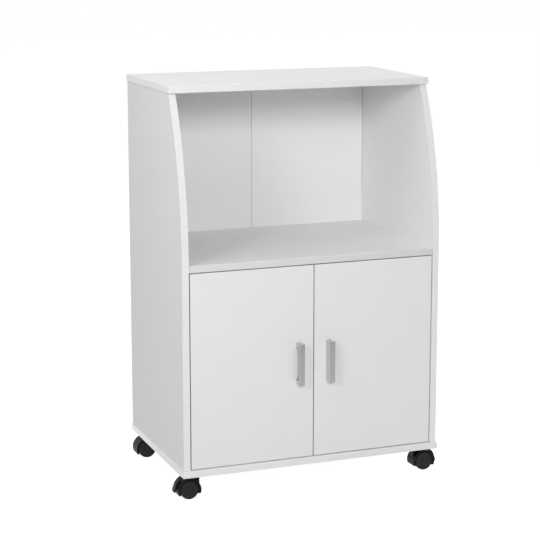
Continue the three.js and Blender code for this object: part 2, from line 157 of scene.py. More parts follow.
class CartStage(bpy.types.PropertyGroup):
    """Camera, lamps and floor."""

    camera_place: bpy.props.FloatVectorProperty(
        name="Camera place", description="Where the camera stands",
        default=(-1.3544, -3.4397, 1.2160), size=3, subtype="TRANSLATION", unit="LENGTH")
    camera_yaw: bpy.props.FloatProperty(
        name="Camera yaw", description="How far the camera looks to the right of straight on",
        default=math.radians(21.04), subtype="ANGLE")
    camera_dip: bpy.props.FloatProperty(
        name="Camera dip", description="How far the camera looks down",
        default=math.radians(10.77), subtype="ANGLE")
    camera_lens: bpy.props.FloatProperty(
        name="Lens", description="Focal length for a 36 mm wide picture",
        default=112.0, min=10, unit="CAMERA")
    camera_shift: bpy.props.FloatProperty(
        name="Rise", description="Vertical shift of the lens, as a share of the picture",
        default=-0.05, min=-0.5, max=0.5)
    light_level: bpy.props.FloatProperty(
        name="Light level", description="Factor on the power of every lamp",
        default=1.0, min=0, max=10)
    sky_level: bpy.props.FloatProperty(
        name="Sky level", description="Brightness of the even light all round",
        default=0.18, min=0, max=2)
    floor_glow: bpy.props.FloatProperty(
        name="Floor white", description="Brightness of the floor in full shade",
        default=0.94, min=0, max=1)


# ---- meshes

def box_of(node):
    """Lowest and highest corner of a node as numpy arrays."""
    low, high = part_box(node)
    return np.array(low), np.array(high)


def middle_of(node):
    """Middle of a node's box."""
    low, high = box_of(node)
    return (low + high) / 2


def finish_mesh(name, mesh, material, body, replaced=(), angle=35.0):
    """Makes the mesh an object that rides on `body` and stands for the replaced nodes."""
    piece = bpy.data.objects.new(name, mesh)
    bpy.context.scene.collection.objects.link(piece)
    mesh.materials.append(material)
    mesh.polygons.foreach_set("use_smooth", np.ones(len(mesh.polygons), dtype=bool))
    mesh.set_sharp_from_angle(angle=math.radians(angle))
    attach(piece, body)
    if replaced:
        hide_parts(*replaced)
    return piece


def piece_from_parts(name, parts, material, node_name, stands=False, angle=35.0):
    """Joins (points, blocks of faces, shares) parts into one piece that rides with a node.

    It stands for that node if `stands` is true. The shares are kept as the attributes "edge",
    1 on a rounded edge and 0 on a flat, and "band_and_painted_sheen", 1 on the banded narrow
    faces of a board and 0 elsewhere.
    """
    vertices = np.concatenate([part[0] for part in parts])
    shares = np.concatenate([part[2] for part in parts])
    faces, offset = [], 0
    for points, blocks, _ in parts:
        for block in blocks:
            faces += (block + offset).tolist()
        offset += len(points)
    mesh = bpy.data.meshes.new(name)
    mesh.from_pydata(vertices.tolist(), [], faces)
    for column, key in enumerate(("edge", "band_and_painted_sheen")):
        layer = mesh.attributes.new(key, "FLOAT", "POINT")
        layer.data.foreach_set("value", shares[:, column].astype(np.float32))
    mesh.validate()
    replaced = (node_name,) if stands else ()
    finish_mesh(name, mesh, material, BODY_OF[node_name], replaced,
                angle)


def skin(rings, shares=None):
    """Closed skin over a stack of rings, an array of L rings by N points by 3.

    Neighbouring rings are joined by quads, and the first and last ring are closed by a fan of
    triangles round their own middle. Faces are turned outwards by the sign of the volume. Returns
    the points, the blocks of quads and triangles, and the shares of every point.
    """
    count, around = rings.shape[:2]
    level, step = np.meshgrid(np.arange(count - 1), np.arange(around), indexing="ij")
    near = level * around + step
    far = level * around + (step + 1) % around
    quads = np.stack([near, far, far + around, near + around], axis=-1).reshape(-1, 4)
    points = np.concatenate([rings.reshape(-1, 3), rings[:1].mean(1), rings[-1:].mean(1)])
    turn = np.arange(around)
    after = (turn + 1) % around
    first = np.full(around, count * around)
    last = (count - 1) * around
    caps = np.concatenate([
        np.stack([first, after, turn], -1), np.stack([first + 1, turn + last, after + last], -1)])
    blocks = [quads, caps]
    triangles = np.concatenate([quads[:, [0, 1, 2]], quads[:, [0, 2, 3]], caps])
    a, b, c = (points[triangles[:, k]] for k in range(3))
    if np.einsum("ij,ij->i", a, np.cross(b, c)).sum() < 0:
        blocks = [block[:, ::-1] for block in blocks]
    if shares is None:
        shares = np.zeros((count, 2))
    spread = np.concatenate([np.repeat(shares, around, axis=0), shares[:1], shares[-1:]])
    return points, blocks, spread


def rounded_rectangle(half_a, half_b, radius, steps):
    """Outline of a rectangle with quarter-circle corners.

    Each point is a corner's centre, which is the half size less the radius along each axis, plus
    the radius times (cos t, sin t), with t running a quarter turn at each of the four corners.
    """
    quarter = np.linspace(0, math.pi / 2, steps + 1)
    angles = (quarter[None, :] + np.arange(4)[:, None] * math.pi / 2).ravel()
    signs = np.repeat([[1, 1], [-1, 1], [-1, -1], [1, -1]], steps + 1, axis=0)
    centres = signs * np.array([half_a - radius, half_b - radius])
    return centres + radius * np.stack([np.cos(angles), np.sin(angles)], -1)


def board(low, high, edge, corner=None):
    """Board with rounded edges between two corners of a box.

    Rings run through the thinnest direction. On the rounding they step in by r (1 - cos t) while
    the level climbs by r sin t, and each ring is a rounded rectangle. The edge share is 1 on the
    rounding and falls to 0 over the first millimetres of each face. The band share is 1 on the
    narrow faces.
    """
    steps = 4                    # in a quarter turn
    fade = 2.5 * MM              # of the edge share, at most
    size, middle = high - low, (high + low) / 2
    thin = int(np.argmin(size))
    across, along = (thin + 1) % 3, (thin + 2) % 3
    corner = corner or 1.6 * edge
    half = size[thin] / 2
    fade = min(fade, half - 1.2 * edge)
    turn = np.linspace(0, math.pi / 2, steps + 1)
    inset = edge * (1 - np.cos(turn))
    level = half - edge + edge * np.sin(turn)
    inset = np.concatenate([[0], inset, [edge + fade]])
    level = np.concatenate([[half - edge - fade / 2], level, [half]])
    share = np.concatenate([[0], np.ones(steps + 1), [0]])
    band_and_painted_sheen = (level < half - 0.4 * edge).astype(float)
    inset = np.concatenate([inset[::-1], inset])
    level = np.concatenate([-level[::-1], level])
    share = np.stack([np.concatenate([part[::-1], part]) for part in (share, band_and_painted_sheen)], axis=-1)
    rings = np.empty((len(level), 4 * (steps + 1), 3))
    for k, (step, height) in enumerate(zip(inset, level)):
        outline = rounded_rectangle(
            size[across] / 2 - step, size[along] / 2 - step, max(corner - step, edge * 0.2), steps)
        rings[k, :, across] = middle[across] + outline[:, 0]
        rings[k, :, along] = middle[along] + outline[:, 1]
        rings[k, :, thin] = middle[thin] + height
    return skin(rings, share)


def spokes(axis, turn):
    """Unit vectors square to the axis: cos t and sin t times its two side directions."""
    side = np.array([axis[1], axis[2], axis[0]], float)
    return np.cos(turn)[..., None] * side + np.sin(turn)[..., None] * np.cross(axis, side)


def turned(profile, centre, axis, around):
    """Profile of (radius, height) pairs turned about `axis` through `centre`.

    A point is the centre plus the height along the axis plus the radius along a spoke.
    """
    t = np.linspace(0, 2 * math.pi, around, endpoint=False)
    rings = profile[:, 0, None, None] * spokes(axis, t)
    return skin(rings + profile[:, 1, None, None] * np.array(axis) + centre)


def arc_profile(centre_r, centre_h, radius, start, end, steps):
    """Points of an arc in a turning profile: centre plus radius times (cos t, sin t)."""
    t = np.radians(np.linspace(start, end, steps + 1))
    return np.stack([centre_r + radius * np.cos(t), centre_h + radius * np.sin(t)], -1)


def screw(centre, axis, radius, rise, shank=0.0, shank_radius=0.0, turn=0.0):
    """Pan-head screw with a cross recess, on its seat at `centre`.

    The head is a grid over share s of the radius and angle t. Its height is
    rise (1 - 0.75 s^4), less a recess: 0.8 rise times a smooth step down at the sides of the two
    bars of the cross, and another at their ends. Both lie at a share of the radius.
    """
    bar_half, bar_softness = 0.10, 0.016
    bar_end, end_softness = 0.58, 0.025
    axis = np.array(axis, float)
    s = np.concatenate([np.linspace(1.0, 0.72, 4), np.linspace(0.64, 0.06, 12)])
    t = np.linspace(0, 2 * math.pi, 48, endpoint=False) + turn
    share, angle = np.meshgrid(s, t, indexing="ij")
    bar = np.minimum(np.abs(share * np.cos(angle - turn)), np.abs(share * np.sin(angle - turn)))
    beside = 1 + np.exp((bar - bar_half) / bar_softness)
    beyond = 1 + np.exp((share - bar_end) / end_softness)
    inside = 1 / beside / beyond
    height = rise * (1 - 0.75 * share ** 4) - 0.8 * rise * inside
    spoke = spokes(axis, angle)
    head = radius * share[..., None] * spoke + height[..., None] * axis
    rim = radius * spoke[:1]
    foot = [rim]
    if shank:
        stem = shank_radius * spoke[:1]
        foot = [stem - shank * axis, stem, rim]
    return skin(np.concatenate([*foot, head]) + centre)


# ---- shader groups

def node(tree, kind, inputs=None, **settings):
    """Adds a node with inputs (values, or sockets to link) and settings (attributes)."""
    made = tree.nodes.new(kind)
    for key, value in settings.items():
        setattr(made, key, value)
    for key, value in (inputs or {}).items():
        if isinstance(value, bpy.types.NodeSocket):
            tree.links.new(value, made.inputs[key])
        else:
            made.inputs[key].default_value = value
    return made


def maths(tree, operation, a, b=0.0, c=0.0):
    """Result of one step of arithmetic."""
    made = node(tree, "ShaderNodeMath", {0: a, 1: b, 2: c}, operation=operation)
    return made.outputs[0]


def product(tree, first, *others):
    """All the values multiplied together."""
    for other in others:
        first = maths(tree, "MULTIPLY", first, other)
    return first


def ramp(tree, value, start, end):
    """0 where the value is at `start`, 1 at `end`, even between them and held beyond them."""
    made = node(tree, "ShaderNodeMapRange", {"Value": value, "From Min": start, "From Max": end})
    return made.outputs[0]


def noise(tree, place, scale, detail, roughness=0.5):
    """Cloudy noise between 0 and 1."""
    made = node(tree, "ShaderNodeTexNoise",
                {"Vector": place, "Scale": scale, "Detail": detail, "Roughness": roughness})
    return made.outputs["Fac"]


def attribute(tree, name):
    """Value of a mesh attribute."""
    return node(tree, "ShaderNodeAttribute", attribute_name=name).outputs["Fac"]


def mixed_colour(tree, share, first, second):
    """The first colour where the share is 0, and the second where it is 1."""
    made = node(tree, "ShaderNodeMix", {0: share, 6: first, 7: second}, data_type="RGBA")
    return made.outputs[2]


def scaled_colour(tree, colour, factor):
    """The colour times a factor."""
    made = node(tree, "ShaderNodeVectorMath", {0: colour, "Scale": factor}, operation="SCALE")
    return made.outputs[0]


def object_place(tree, stretch=(1, 1, 1)):
    """Object coordinates, stretched along the axes."""
    place = node(tree, "ShaderNodeTexCoord")
    mapped = node(tree, "ShaderNodeMapping", {"Vector": place.outputs["Object"], "Scale": stretch})
    return mapped.outputs["Vector"]


def tone_nodes(tree, given):
    """Large and small cloudy variation of a colour: the colour times 1 plus or minus a share."""
    cloud = noise(tree, object_place(tree), given["Scale"], 5.0, 0.55)
    centred = maths(tree, "SUBTRACT", cloud, 0.5)
    factor = maths(tree, "MULTIPLY_ADD", centred, given["Share"], 1.0)
    return {"Colour": scaled_colour(tree, given["Colour"], factor)}


def grain_nodes(tree, given):
    """Fine moulded or rolled grain: a height from two noises, and a roughness that follows it."""
    place = object_place(tree, given["Stretch"])
    fine = noise(tree, place, given["Scale"], 3.0, 0.6)
    wide = noise(tree, place, product(tree, given["Scale"], 0.12), 2.0)
    height = maths(tree, "ADD", product(tree, fine, 0.6), product(tree, wide, 0.4))
    centred = maths(tree, "SUBTRACT", height, 0.5)
    rough = maths(tree, "MULTIPLY_ADD", centred, given["Spread"], given["Roughness"])
    return {"Height": height, "Roughness": rough}


def band_and_painted_sheen_nodes(tree, given):
    """Edge band tone on boards and painted sheen on pulls: the band colour where
    "band_and_painted_sheen" is 1, with its coat.
    """
    band_and_painted_sheen = attribute(tree, "band_and_painted_sheen")
    return {"Colour": mixed_colour(tree, band_and_painted_sheen, given["Colour"], given["Band and painted sheen"]),
            "Coat": product(tree, band_and_painted_sheen, given["Gloss"])}


def wear_nodes(tree, given):
    """Rubbed edges: the attribute "edge" broken up by noise, mixed into the colour."""
    patch = ramp(tree, noise(tree, object_place(tree), 60.0, 4.0), 0.35, 0.65)
    worn = product(tree, attribute(tree, "edge"), patch, given["Amount"])
    return {"Colour": mixed_colour(tree, worn, given["Colour"], given["Worn"])}


def dust_nodes(tree, given):
    """Dust that lies near the floor: a share that falls with height, broken up by noise."""
    place = object_place(tree)
    split = node(tree, "ShaderNodeSeparateXYZ", {0: place}).outputs
    fall = ramp(tree, split["Z"], given["Height"], 0.0)
    speck = ramp(tree, noise(tree, place, 260.0, 6.0, 0.7), 0.42, 0.75)
    dust = product(tree, fall, speck, given["Amount"])
    return {"Colour": mixed_colour(tree, dust, given["Colour"], given["Dust"])}


def painted_joint_shade_nodes(tree, given):
    """Painted shadow line on a back sheet, along the inner faces of the side panels.

    The colour times 1 - depth * line * rise, in front of y = back only: the line is 1 at
    |x| = place and 0 a width away, and the rise goes from 0 at z = low to 1 at z = full.
    """
    split = node(tree, "ShaderNodeSeparateXYZ", {0: object_place(tree)}).outputs
    beside = maths(tree, "SUBTRACT", maths(tree, "ABSOLUTE", split["X"]), given["Place"])
    line = ramp(tree, maths(tree, "ABSOLUTE", beside), given["Width"], 0.0)
    rise = ramp(tree, split["Z"], given["Low"], given["Full"])
    inside = maths(tree, "LESS_THAN", split["Y"], given["Back"])
    painted_shade = product(tree, line, rise, inside, given["Depth"])
    return {"Colour": scaled_colour(tree, given["Colour"], maths(tree, "SUBTRACT", 1.0, painted_shade))}


# Name, function, inputs with their defaults, and results. Four numbers stand for a colour,
# three for a vector and one for a plain value.
PALE = (0.8, 0.8, 0.8, 1)
GROUPS = {
    "tone": ("tone variation", tone_nodes,
             {"Colour": PALE, "Share": 0.02, "Scale": 6.0}, {"Colour": PALE}),
    "grain": ("fine grain", grain_nodes,
              {"Scale": 900.0, "Stretch": (1, 1, 1), "Roughness": 0.45, "Spread": 0.08},
              {"Height": 0.0, "Roughness": 0.0}),
    "wear": ("edge wear", wear_nodes,
             {"Colour": PALE, "Worn": (0.9, 0.9, 0.9, 1), "Amount": 0.5}, {"Colour": PALE}),
    "band_and_painted_sheen": ("edge band and painted sheen", band_and_painted_sheen_nodes,
             {"Colour": PALE, "Band and painted sheen": (0.7, 0.7, 0.7, 1), "Gloss": 0.5},
             {"Colour": PALE, "Coat": 0.0}),
    "dust": ("floor dust", dust_nodes,
             {"Colour": (0.02, 0.02, 0.02, 1), "Dust": (0.2, 0.19, 0.18, 1), "Amount": 0.2,
              "Height": 0.05}, {"Colour": PALE}),
    # painted shade: a shadow line along the back sheets' joints with the side panels
    "painted_joint_shade": ("painted joint shade", painted_joint_shade_nodes,
              {"Colour": PALE, "Place": 0.28, "Back": 0.2, "Low": 0.5, "Full": 0.6,
               "Width": 0.001, "Depth": 0.5}, {"Colour": PALE}),
}
groups = {}


def add_sockets(tree, in_out, values):
    """Adds a named socket to a group for each value, with that value as its default."""
    for label, value in values.items():
        numbers = len(value) if isinstance(value, tuple) else 1
        kind = {1: "NodeSocketFloat", 3: "NodeSocketVector", 4: "NodeSocketColor"}[numbers]
        socket = tree.interface.new_socket(name=label, in_out=in_out, socket_type=kind)
        socket.default_value = value


def build_group(key):
    """Shader node group of GROUPS, with its named sockets and its nodes."""
    name, add_nodes, inputs, results = GROUPS[key]
    tree = bpy.data.node_groups.new(name, "ShaderNodeTree")
    add_sockets(tree, "INPUT", inputs)
    add_sockets(tree, "OUTPUT", results)
    start = tree.nodes.new("NodeGroupInput")
    end = tree.nodes.new("NodeGroupOutput")
    for label, value in add_nodes(tree, start.outputs).items():
        tree.links.new(value, end.inputs[label])
    return tree


def placed_group(tree, key, inputs):
    """Outputs of a shared node group placed in a material. The group is built the first time."""
    if key not in groups:
        groups[key] = build_group(key)
    return node(tree, "ShaderNodeGroup", inputs, node_tree=groups[key]).outputs


# ---- materials

PAINTED_SHADE_LOW = 30 * MM       # the painted shadow line starts this far above the fixed shelf
PAINTED_SHADE_RISE = 80 * MM      # and takes this height to reach its full depth
PAINTED_SHADE_WIDTH = 1.5 * MM
PAINTED_SHADE_DEPTH = 0.75


def principled(name, roughness, metallic=0.0, ior=1.5):
    """New material with its Principled shader, and the tree to add nodes to."""
    material = bpy.data.materials.new(name)
    material.use_nodes = True
    tree = material.node_tree
    shader = next(n for n in tree.nodes if n.type == "BSDF_PRINCIPLED")
    shader.inputs["Roughness"].default_value = roughness
    shader.inputs["Metallic"].default_value = metallic
    shader.inputs["IOR"].default_value = ior
    return material, tree, shader


def rgba(colour, factor=1.0):
    """The colour times a factor, opaque."""
    return (*(min(1.0, factor * c) for c in colour), 1.0)


def band_and_painted_sheen_colour(tree, shader, colour, band_and_painted_sheen, gloss):
    """The colour times `band_and_painted_sheen` on marked faces, with a coat of weight `gloss`; on
    pulls it is painted sheen.
    """
    banded_and_painted_sheen = placed_group(
        tree, "band_and_painted_sheen", {"Colour": rgba(colour), "Band and painted sheen": rgba(colour, band_and_painted_sheen), "Gloss": gloss})
    tree.links.new(banded_and_painted_sheen["Coat"], shader.inputs["Coat Weight"])
    return banded_and_painted_sheen["Colour"]


def lived_in(tree, colour, share, scale, worn, amount):
    """The colour with cloudy tones, and with the worn colour on rubbed edges."""
    tone = placed_group(tree, "tone", {"Colour": colour, "Share": share, "Scale": scale})
    return placed_group(
        tree, "wear", {"Colour": tone["Colour"], "Worn": worn, "Amount": amount})["Colour"]


def surface(tree, shader, colour, depth, **grain_inputs):
    """Feeds the colour, and a grain that is `depth` metres deep, to the shader."""
    grain = placed_group(tree, "grain", grain_inputs)
    bump = node(tree, "ShaderNodeBump",
                {"Height": grain["Height"], "Distance": depth, "Strength": 1.0})
    tree.links.new(colour, shader.inputs["Base Color"])
    tree.links.new(grain["Roughness"], shader.inputs["Roughness"])
    tree.links.new(bump.outputs["Normal"], shader.inputs["Normal"])


def board_material(name, colour, share=0.03, roughness=0.60, depth=0.035 * MM, scale=700.0,
                   band_and_painted_sheen=0.95, painted_joint_shade=None):
    """White melamine: faint cloudiness, a pearly rolled grain and slightly brighter edges.

    The banded narrow faces are a shade darker, by the factor `band_and_painted_sheen`, and
    glossier. With the places of a joint it gets a painted shadow line along that joint.
    """
    material, tree, shader = principled(name, roughness)
    shader.inputs["Coat Roughness"].default_value = 0.15
    seen = band_and_painted_sheen_colour(tree, shader, colour, band_and_painted_sheen, 1.0)
    seen = lived_in(tree, seen, share, 5.0, rgba(colour, 1.04), 0.6)
    # painted shadow line along the joints with the side panels
    if painted_joint_shade:
        seen = placed_group(tree, "painted_joint_shade", {"Colour": seen, **painted_joint_shade})["Colour"]
    surface(tree, shader, seen, depth, Scale=scale, Roughness=roughness, Spread=0.10)
    return material


def metal_material(name, colour, roughness, scale, depth, stretch=(1.0, 1.0, 1.0), band_and_painted_sheen=1.0,
                   gloss=0.0):
    """Plated or anodised metal: brushing as grain stretched along one axis.

    Faces marked band_and_painted_sheen get a painted sheen, brighter by that factor, and a clear
    coat.
    """
    material, tree, shader = principled(name, roughness, 1.0)
    shader.inputs["Coat Roughness"].default_value = 0.12
    seen = band_and_painted_sheen_colour(tree, shader, colour, band_and_painted_sheen, gloss)
    seen = lived_in(tree, seen, 0.05, 30.0, rgba(colour, 1.25), 0.7)
    surface(tree, shader, seen, depth,
            Scale=scale, Stretch=stretch, Roughness=roughness, Spread=0.25)
    return material


def plastic_material(name, colour, roughness, scale, depth, dust, ior=1.22):
    """Moulded plastic: spark-eroded grain, rubbed edges, and dust near the floor."""
    material, tree, shader = principled(name, roughness, ior=ior)
    seen = lived_in(tree, rgba(colour), 0.15, 40.0, rgba([c + 0.012 for c in colour]), 0.6)
    if dust:
        seen = placed_group(tree, "dust", {"Colour": seen, "Amount": dust})["Colour"]
    surface(tree, shader, seen, depth, Scale=scale, Roughness=roughness, Spread=0.2)
    return material


finishes = {}


def make_finishes(colours):
    """Makes the cart's materials from the panel's colours."""
    low = box_of("fixed_shelf")[1][2] + PAINTED_SHADE_LOW
    # places of the painted shadow line on the back sheets
    painted_joint_shade = {
        "Place": box_of("right_side_panel")[0][0], "Back": middle_of("back_sheet_right")[1],
        "Low": low, "Full": low + PAINTED_SHADE_RISE, "Width": PAINTED_SHADE_WIDTH, "Depth": PAINTED_SHADE_DEPTH}
    return {
        "white_board": board_material("white melamine board", colours.board),
        "grey_band": board_material("white board with greyer band", colours.board, band_and_painted_sheen=0.80),
        # painted shade: the doors are a darker copy of the same white melamine
        "white_door_painted_darker": board_material("white melamine door, painted darker", colours.door),
        "white_back": board_material(
            "white coated hardboard", colours.sheet, 0.05, 0.58, 0.08 * MM, 420.0, painted_joint_shade=painted_joint_shade),
        # painted sheen: the pulls' marked side, top and bottom faces are 1.68 times lighter than
        # the front
        "handle_metal": metal_material(
            "satin silver handle", colours.handle, 0.34, 2600.0, 0.015 * MM,
            stretch=(1.0, 1.0, 0.04), band_and_painted_sheen=1.68, gloss=1.0),
        "fitting_steel": metal_material(
            "nickel-plated fitting", colours.fitting, 0.34, 900.0, 0.01 * MM),
        "screw_steel": metal_material(
            "zinc-plated screw", colours.screw, 0.30, 1400.0, 0.01 * MM),
        "castor_steel": metal_material(
            "zinc-plated castor steel", colours.castor_steel, 0.42, 700.0, 0.02 * MM),
        "castor_plastic": plastic_material(
            "black castor nylon", colours.castor, 0.42, 1500.0, 0.02 * MM, 0.12),
        "wheel_plastic": plastic_material(
            "black wheel nylon", colours.wheel, 0.42, 1200.0, 0.02 * MM, 0.20, 1.3),
        "catch_plastic": plastic_material(
            "white catch plastic", colours.catch, 0.40, 1200.0, 0.02 * MM, 0.0, 1.5),
        "seam_tape": board_material(
            "white seam tape", colours.tape, 0.04, 0.34, 0.05 * MM, 300.0),
    }


def finish(context, key):
    """One of the cart's materials. All are made when the first one is asked for."""
    if not finishes:
        finishes.update(make_finishes(context.scene.cart_finish))
    return finishes[key]


# ---- pieces

def add_board(context, node_name, suffix, edge, low=None, high=None, corner=None, key=None):
    """Rounded board in a node's own box, or in a given box, standing for that node."""
    if low is None:
        low, high = box_of(node_name)
    piece_from_parts(
        f"{node_name}_{suffix}", [board(low, high, edge, corner)],
        finish(context, key or SLOT_OF[node_name]), node_name, stands=True)


def add_softened(context, node_name, suffix, width, segments=2, crease=40.0, key=None):
    """Copy of a node's solid with its corners merged, flats dissolved and edges bevelled."""
    same_point, same_plane = 0.002 * MM, math.radians(0.4)
    name = f"{node_name}_{suffix}"
    mesh = frame["nodes"][node_name].data.copy()
    mesh.name = name
    mesh.materials.clear()
    work = bmesh.new()
    work.from_mesh(mesh)
    bmesh.ops.remove_doubles(work, verts=work.verts, dist=same_point)
    bmesh.ops.dissolve_limit(work, angle_limit=same_plane, verts=work.verts, edges=work.edges)
    work.to_mesh(mesh)
    work.free()
    stale = mesh.attributes.get("custom_normal")
    if stale:
        mesh.attributes.remove(stale)
    slot = SLOT_OF[node_name]
    piece = finish_mesh(
        name, mesh, finish(context, key or slot), BODY_OF[node_name], (node_name,), crease)
    bevel = piece.modifiers.new("Softened edges", "BEVEL")
    bevel.width = width
    bevel.segments = segments
    bevel.limit_method = "ANGLE"
    bevel.angle_limit = math.radians(crease)
    bevel.harden_normals = True
    bevel.miter_outer = "MITER_ARC"
    return piece


def mark_band_and_painted_sheen(piece, node_name, axes, depth=None):
    """Marks narrow faces with "band_and_painted_sheen": a band on boards and doors, painted sheen
    on pulls.

    They look along one of `axes`. With a depth, they also lie that close to the node's box.
    """
    faces = piece.data.polygons
    normal, centre = np.empty(3 * len(faces)), np.empty(3 * len(faces))
    faces.foreach_get("normal", normal)
    faces.foreach_get("center", centre)
    banded_and_painted_sheen = np.abs(normal.reshape(-1, 3)[:, axes]).max(axis=1) > 0.6
    if depth:
        low, high = box_of(node_name)
        centre = centre.reshape(-1, 3)
        banded_and_painted_sheen &= np.minimum(centre - low, high - centre)[:, axes].min(axis=1) < depth
    layer = piece.data.attributes.new("band_and_painted_sheen", "FLOAT", "FACE")
    layer.data.foreach_set("value", banded_and_painted_sheen.astype(np.float32))


class CART_OT_boards(bpy.types.Operator):
    """Top, base, both shelves and the two side panels"""

    bl_idname = "cart.boards"
    bl_label = "Boards"

    def execute(self, context):
        edge = context.scene.cart_sizes.board_edge
        for name in ("top_board", "base_board", "inner_shelf"):
            add_board(context, name, "laminate", edge)
        add_board(context, "fixed_shelf", "laminate", edge, key="grey_band")
        for side in SIDES:
            name = f"{side}_side_panel"
            panel = add_softened(context, name, "laminate", edge, 3)
            mark_band_and_painted_sheen(panel, name, [1, 2])
        return {"FINISHED"}


TAPE_SHORT = 0.5 * MM     # tape to the sheets' upper and lower edges
TAPE_THICK = 0.2 * MM
TAPE_EDGE = 0.06 * MM
NAIL_END = 30 * MM        # first and last nail of a column from the sheets' edges
NAIL_SIDE = 40 * MM       # first and last nail of a row from the columns
NAIL_AROUND = 16


class CART_OT_back(bpy.types.Operator):
    """Back sheets with their seam tape and nails"""

    bl_idname = "cart.back"
    bl_label = "Back sheets"

    def execute(self, context):
        sizes = context.scene.cart_sizes
        for side in SIDES:
            name = f"back_sheet_{side}"
            low, high = box_of(name)
            high[1] -= sizes.nail_rise
            add_board(context, name, "coated", sizes.sheet_edge, low, high)
        low, high = box_of("back_sheet_left")
        high[1] -= sizes.nail_rise
        self.add_seam_tape(context, sizes, low, high)
        self.add_nails(context, sizes, low, high)
        return {"FINISHED"}

    def add_seam_tape(self, context, sizes, low, high):
        """Strip of white tape over the seam, on the sheets' outer faces."""
        reach = sizes.tape_width / 2
        tape_low = np.array([-reach, high[1], low[2] + TAPE_SHORT])
        tape_high = np.array([reach, high[1] + TAPE_THICK, high[2] - TAPE_SHORT])
        piece_from_parts(
            "back_seam_tape", [board(tape_low, tape_high, TAPE_EDGE)],
            finish(context, "seam_tape"), "back_sheet_left")

    def add_nails(self, context, sizes, low, high):
        """Nails through the sheets into the edges of side panels, boards and fixed shelf.

        A nail's head is a low dome: its profile narrows to half the radius at its full rise.
        """
        rows = [middle_of(name)[2] for name in ("top_board", "base_board", "fixed_shelf")]
        columns = [middle_of(f"{side}_side_panel")[0] for side in SIDES]
        places = []
        count = int((high[2] - low[2]) / sizes.nail_pitch)
        for x in columns:
            heights = np.linspace(low[2] + NAIL_END, high[2] - NAIL_END, count + 1)
            places += [(x, z) for z in heights]
        reach = -columns[0] - NAIL_SIDE
        pairs = int(reach / sizes.nail_pitch) + 1
        for z in rows:
            places += [(x, z) for x in np.linspace(-reach, reach, 2 * pairs)]
        shares = np.array([(1, 0), (1, 0.4), (0.85, 0.8), (0.5, 1), (0.1, 1)])
        profile = shares * (sizes.nail_radius, sizes.nail_rise)
        parts = [turned(profile, (x, high[1], z), (0, 1, 0), NAIL_AROUND) for x, z in places]
        piece_from_parts(
            "back_nails", parts, finish(context, "screw_steel"), "back_sheet_left")


BAND_AND_SHEEN_REACH = 1.5 * MM     # banded faces of doors and painted-sheen faces of pulls lie this close to their box


class CART_OT_doors(bpy.types.Operator):
    """Two doors with the hinge cups' holes"""

    bl_idname = "cart.doors"
    bl_label = "Doors"

    def execute(self, context):
        edge = context.scene.cart_sizes.board_edge
        for side in SIDES:
            name = f"{side}_door"
            door = add_softened(context, name, "laminate", edge, 3, key="white_door_painted_darker")
            mark_band_and_painted_sheen(door, name, [0, 2], BAND_AND_SHEEN_REACH)
        return {"FINISHED"}


PULL_SCREW_HEAD = 2.4 * MM     # height of the head
PULL_SCREW_SHANK = 2 * MM      # radius of the shank
PULL_SCREW_TURN = 0.4          # turn of the cross, radians


class CART_OT_handles(bpy.types.Operator):
    """Door pulls and their screws"""

    bl_idname = "cart.handles"
    bl_label = "Handles"

    def execute(self, context):
        edge = context.scene.cart_sizes.handle_edge
        for side in SIDES:
            name = f"{side}_handle"
            pull = add_softened(context, name, "pull", edge, 3, crease=28.0)
            # Painted sheen on the pull's outer side, top and bottom faces; the pocket faces further
            # in get none.
            mark_band_and_painted_sheen(pull, name, [0, 2], BAND_AND_SHEEN_REACH)
            for level in LEVELS:
                self.add_screw(context, f"{name}_screw_{level}")
        return {"FINISHED"}

    def add_screw(self, context, name):
        """Screw through the door: its head on the door's back, its shank in the pull's foot."""
        low, high = box_of(name)
        middle = (low + high) / 2
        seat = np.array([middle[0], high[1] - PULL_SCREW_HEAD, middle[2]])
        part = screw(
            seat, (0, 1, 0), (high[0] - low[0]) / 2, PULL_SCREW_HEAD, seat[1] - low[1],
            PULL_SCREW_SHANK, PULL_SCREW_TURN)
        piece_from_parts(
            f"{name}_pan", [part], finish(context, "screw_steel"), name, stands=True)


ARM_SHEET = 2.5 * MM              # thickness of a hinge arm
PLATE_SCREW_OFFSET = 11 * MM      # plate screws above and below the arm's middle
PLATE_SCREW_RISE = 1.6 * MM
PLATE_SCREW_TURN = 0.3            # turn of the cross, radians
ARM_SCREW_BACKS = (14 * MM, 32 * MM)    # arm screws from the plate's rear end
ARM_SCREW_RADIUS = 2.6 * MM
ARM_SCREW_RISE = 1.2 * MM


